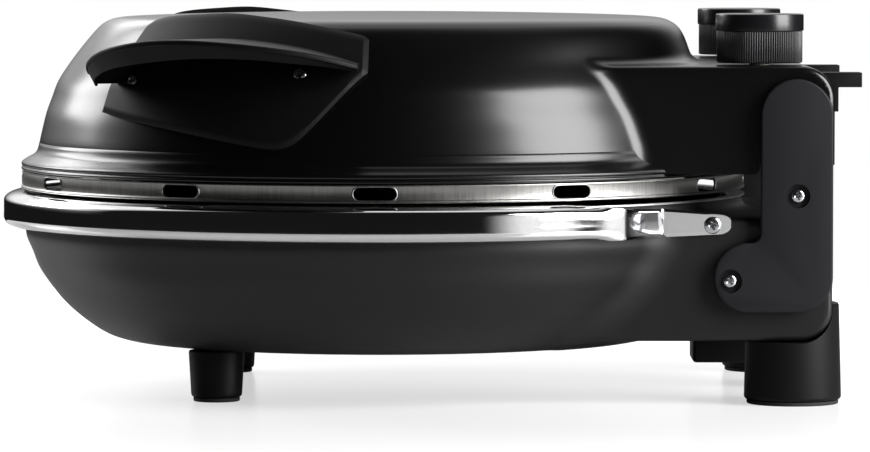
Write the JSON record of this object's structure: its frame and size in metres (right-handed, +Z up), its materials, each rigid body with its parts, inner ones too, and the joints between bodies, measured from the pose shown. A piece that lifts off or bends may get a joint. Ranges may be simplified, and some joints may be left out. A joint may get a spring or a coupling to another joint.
{
  "type": "electric pizza oven",
  "caption": "Round clamshell countertop oven with a domed lid, side handles, rear hinge and a box of round controls, which bakes a flat round pizza on a stone between two heating elements.",
  "frame": {"origin": "centre of the bounding box in plan, on the surface that the rubber pads stand on", "axes": "+X from the front to the hinge at the rear, +Y to the left of a cook at the front, +Z up"},
  "size_m": [0.3966, 0.3552, 0.1765],
  "materials": {
    "satin_black_shell": "satin black",
    "matte_grey_shell": "matte dark grey",
    "black_plastic": "matte black",
    "charcoal_plastic": "matte charcoal",
    "gloss_black_plastic": "gloss black",
    "polished_chrome": "mirror polished",
    "brushed_stainless": "brushed",
    "aluminised_sheet": "plain bright sheet",
    "dark_heater_tube": "oxidised tube",
    "cordierite_stone": "rough fired stone",
    "ivory_phenolic": "moulded insulator",
    "black_rubber": "matte",
    "bright_zinc": "bright zinc plated",
    "red_lens": "clear red",
    "green_lens": "clear green"
  },
  "bodies": {
    "base": {"base_shell": "matte_grey_shell", "clamp_ring": "polished_chrome", "base_liner": "aluminised_sheet", "pizza_stone": "cordierite_stone", "lower_element": "dark_heater_tube", "lower_element_tab_1": "aluminised_sheet", "lower_element_tab_2": "aluminised_sheet", "lower_element_tab_3": "aluminised_sheet", "terminal_box": "black_plastic", "terminal_block": "ivory_phenolic", "cord_gland": "black_rubber", "thermal_cutout": "ivory_phenolic", "front_foot_left": "black_plastic", "front_foot_right": "black_plastic", "rear_foot_left": "black_plastic", "rear_foot_right": "black_plastic", "front_pad_left": "black_rubber", "front_pad_right": "black_rubber", "rear_pad_left": "black_rubber", "rear_pad_right": "black_rubber", "hinge_plate_left": "charcoal_plastic", "hinge_plate_right": "charcoal_plastic", "hinge_pin_left": "bright_zinc", "hinge_pin_right": "bright_zinc", "hinge_screw_upper_left": "bright_zinc", "hinge_screw_lower_left": "bright_zinc", "hinge_screw_upper_right": "bright_zinc", "hinge_screw_lower_right": "bright_zinc", "ring_screw_left": "bright_zinc", "ring_screw_right": "bright_zinc", "terminal_screw_left": "bright_zinc", "terminal_screw_right": "bright_zinc"},
    "lid": {"lid_shell": "satin_black_shell", "slotted_band": "brushed_stainless", "lid_liner": "aluminised_sheet", "control_box_cover": "black_plastic", "upper_element": "dark_heater_tube", "upper_element_tab_1": "aluminised_sheet", "upper_element_tab_2": "aluminised_sheet", "upper_element_tab_3": "aluminised_sheet", "handle_left": "black_plastic", "handle_right": "black_plastic", "cord_hook_left": "black_plastic", "cord_hook_right": "black_plastic", "handle_screw_front_left": "bright_zinc", "handle_screw_rear_left": "bright_zinc", "handle_screw_front_right": "bright_zinc", "handle_screw_rear_right": "bright_zinc", "cover_screw_left": "bright_zinc", "cover_screw_right": "bright_zinc", "thermostat": "ivory_phenolic", "timer": "ivory_phenolic", "power_lens": "red_lens", "heat_lens": "green_lens"},
    "thermostat_dial": {"thermostat_shaft": "bright_zinc", "thermostat_knob": "gloss_black_plastic"},
    "timer_dial": {"timer_shaft": "bright_zinc", "timer_knob": "gloss_black_plastic"}
  },
  "joints": [
    {"name": "lid_hinge", "type": "hinge", "parent": "base", "child": "lid", "pos_m": [0.16635, 0, 0.131], "axis": [0, 1, 0], "range_deg": [0, 100]},
    {"name": "thermostat_turn", "type": "hinge", "parent": "lid", "child": "thermostat_dial", "pos_m": [0.15105, -0.085, 0.165], "axis": [0, 0, 1], "range_deg": [-270, 0]},
    {"name": "timer_turn", "type": "hinge", "parent": "lid", "child": "timer_dial", "pos_m": [0.15105, 0.085, 0.165], "axis": [0, 0, 1], "range_deg": [-300, 0]}
  ]
}
